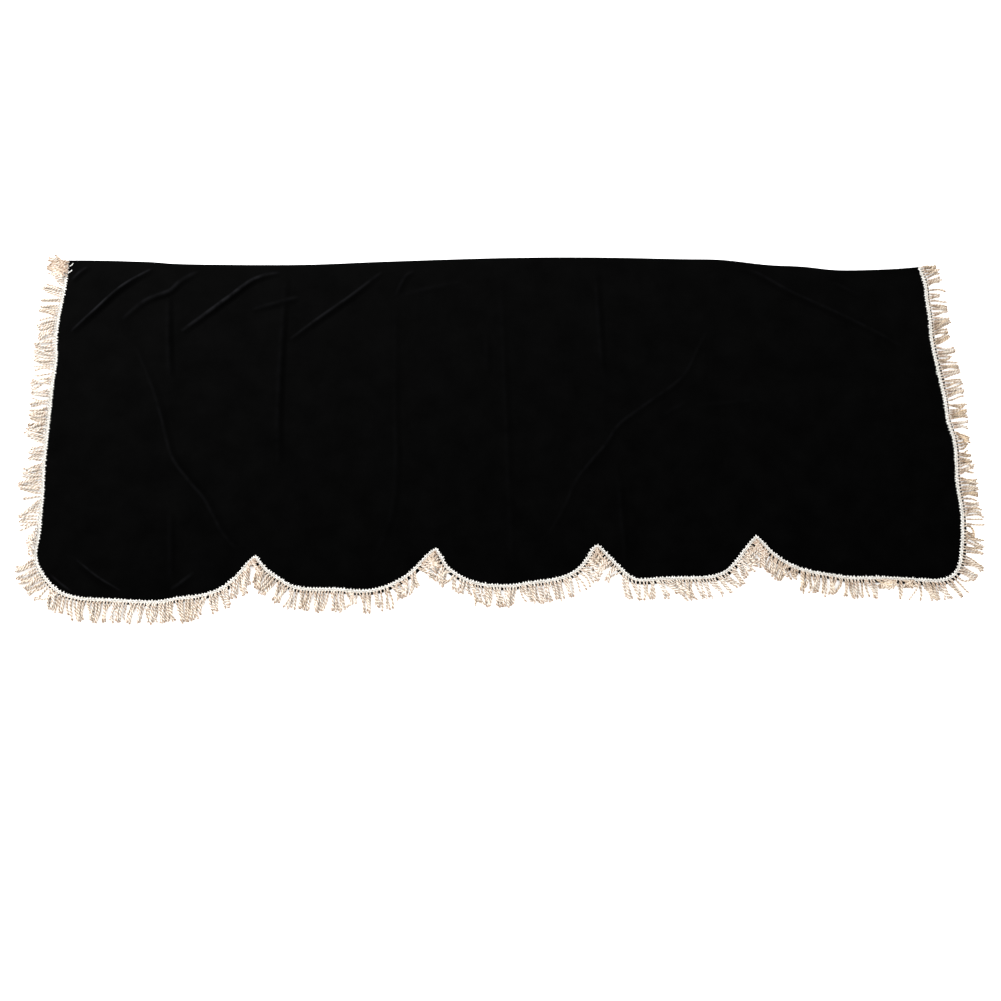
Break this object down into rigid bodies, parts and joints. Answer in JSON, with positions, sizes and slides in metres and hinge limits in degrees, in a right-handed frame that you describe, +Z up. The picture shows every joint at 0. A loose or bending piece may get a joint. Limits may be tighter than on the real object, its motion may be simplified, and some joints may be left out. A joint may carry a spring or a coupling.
{
  "type": "piano keyboard cover",
  "caption": "Black velvet piano cover with a plain top edge, a scalloped hem and cream bullion fringe along its sides and hem, laid out flat.",
  "frame": {"origin": "middle of the laid-out cover, on the surface that it lies on", "axes": "+X along the length, +Y from the scalloped hem to the plain top edge, +Z up"},
  "size_m": [2.0326, 0.8362, 0.0078],
  "materials": {
    "velvet": "black pile velvet, matt with a soft sheen on its folds",
    "fringe": "cream twisted cord under a crocheted header, slightly glossy"
  },
  "bodies": {
    "root": {"velvet_panel": "velvet", "bullion_fringe": "fringe"}
  },
  "joints": []
}
